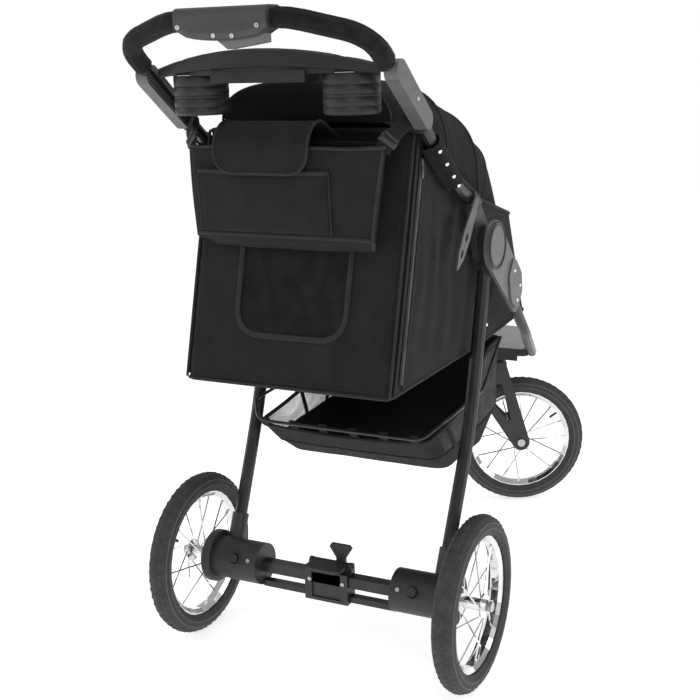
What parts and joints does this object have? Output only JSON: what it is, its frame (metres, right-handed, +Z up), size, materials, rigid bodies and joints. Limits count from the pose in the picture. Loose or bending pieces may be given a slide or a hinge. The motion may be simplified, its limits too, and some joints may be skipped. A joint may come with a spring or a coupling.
{
  "type": "pet stroller",
  "caption": "Folding jogging-style pet stroller with a fabric cabin and canopy, cup-holder tray, under-basket, spoked air wheels and a swivel front fork.",
  "frame": {"origin": "middle of the overall footprint, on the ground under the wheels", "axes": "+Z up, -Y the way the stroller travels, +X its left side"},
  "size_m": [0.62, 1.227, 1.1325],
  "materials": {
    "tyre_rubber": "matte",
    "bright_chrome": "polished",
    "brushed_steel": "satin",
    "black_tube_paint": "gloss",
    "black_plastic": "satin",
    "grey_plastic": "satin",
    "tray_plastic": "matte grain",
    "pale_grey_plastic": "textured",
    "black_foam": "matte foam",
    "black_polyester": "woven",
    "base_board": "padded board"
  },
  "bodies": {
    "chassis": {"cabin_shell": "black_polyester", "base_board": "base_board", "canopy_hood": "black_polyester", "organiser_bag": "black_polyester", "slip_pocket": "black_polyester", "bag_flap": "black_polyester", "basket": "black_polyester", "basket_wire": "black_tube_paint", "front_tube_L": "black_tube_paint", "front_tube_R": "black_tube_paint", "hinge_housing_L": "black_plastic", "hinge_housing_R": "black_plastic", "hinge_cap_L": "grey_plastic", "hinge_cap_R": "grey_plastic", "rivet_plate_L": "grey_plastic", "rivet_plate_R": "grey_plastic", "hinge_pin_L": "brushed_steel", "hinge_pin_R": "brushed_steel", "footboard": "pale_grey_plastic", "swivel_socket": "black_plastic"},
    "handle_frame": {"handle_tube": "black_tube_paint", "handle_arm_L": "black_plastic", "handle_arm_R": "black_plastic", "fold_link_L": "brushed_steel", "fold_link_R": "brushed_steel", "foam_grip_L": "black_foam", "foam_grip_R": "black_foam", "grip_console": "tray_plastic", "tray_bracket_L": "grey_plastic", "tray_bracket_R": "grey_plastic", "cup_tray": "tray_plastic", "cup_holder_L": "tray_plastic", "cup_holder_R": "tray_plastic"},
    "trigger": {"squeeze_trigger": "grey_plastic"},
    "rear_frame": {"rear_leg_L": "black_tube_paint", "rear_leg_R": "black_tube_paint", "axle_housing_L": "black_plastic", "axle_housing_R": "black_plastic", "hub_collar_L": "black_plastic", "hub_collar_R": "black_plastic", "rear_axle_L": "brushed_steel", "rear_axle_R": "brushed_steel", "axle_beam_upper": "black_tube_paint", "axle_beam_lower": "black_tube_paint", "brake_bracket": "black_plastic"},
    "brake": {"brake_pedal": "black_plastic"},
    "release_L": {"release_button_L": "black_plastic"},
    "release_R": {"release_button_R": "black_plastic"},
    "rear_wheel_L": {"rear_L_tyre": "tyre_rubber", "rear_L_wheel": "bright_chrome"},
    "rear_wheel_R": {"rear_R_tyre": "tyre_rubber", "rear_R_wheel": "bright_chrome"},
    "fork": {"front_fork": "black_plastic", "front_axle": "brushed_steel"},
    "front_wheel_body": {"front_tyre": "tyre_rubber", "front_wheel": "bright_chrome"},
    "canopy": {"canopy_front": "black_polyester"}
  },
  "joints": [
    {"name": "handle_fold", "type": "hinge", "parent": "chassis", "child": "handle_frame", "pos_m": [0, 0.12448, 0.73], "axis": [1, 0, 0], "range_deg": [0, 120]},
    {"name": "leg_fold", "type": "hinge", "parent": "chassis", "child": "rear_frame", "pos_m": [0, 0.12448, 0.73], "axis": [1, 0, 0], "range_deg": [-40, 0]},
    {"name": "canopy_fold", "type": "hinge", "parent": "chassis", "child": "canopy", "pos_m": [0, 0.18548, 0.588], "axis": [-1, 0, 0], "range_deg": [0, 32]},
    {"name": "fork_swivel", "type": "hinge", "parent": "chassis", "child": "fork", "pos_m": [0, -0.50552, 0.349], "axis": [0, 0, 1], "continuous": true},
    {"name": "front_wheel_spin", "type": "hinge", "parent": "fork", "child": "front_wheel_body", "pos_m": [-0.05728, -0.53408, 0.1525], "axis": [-0.4462, 0.8949, 0], "continuous": true},
    {"name": "rear_wheel_spin_L", "type": "hinge", "parent": "rear_frame", "child": "rear_wheel_L", "pos_m": [0.2755, 0.34148, 0.1525], "axis": [1, 0, 0], "continuous": true},
    {"name": "rear_wheel_spin_R", "type": "hinge", "parent": "rear_frame", "child": "rear_wheel_R", "pos_m": [-0.2755, 0.34148, 0.1525], "axis": [1, 0, 0], "continuous": true},
    {"name": "trigger_squeeze", "type": "slide", "parent": "handle_frame", "child": "trigger", "axis": [0, 0, 1], "range_m": [0, 0.006], "stiffness_N_per_m": 300, "springref_m": -0.006},
    {"name": "brake_rock", "type": "hinge", "parent": "rear_frame", "child": "brake", "pos_m": [0, 0.33148, 0.1735], "axis": [-1, 0, 0], "range_deg": [0, 12]},
    {"name": "release_press_L", "type": "slide", "parent": "rear_frame", "child": "release_L", "axis": [0, -0.8988, -0.4384], "range_m": [0, 0.004], "stiffness_N_per_m": 300, "springref_m": -0.003},
    {"name": "release_press_R", "type": "slide", "parent": "rear_frame", "child": "release_R", "axis": [0, -0.8988, -0.4384], "range_m": [0, 0.004], "stiffness_N_per_m": 300, "springref_m": -0.003}
  ],
  "couplings": [
    {"joint": "leg_fold", "follows": "handle_fold", "ratio": -0.33333}
  ]
}
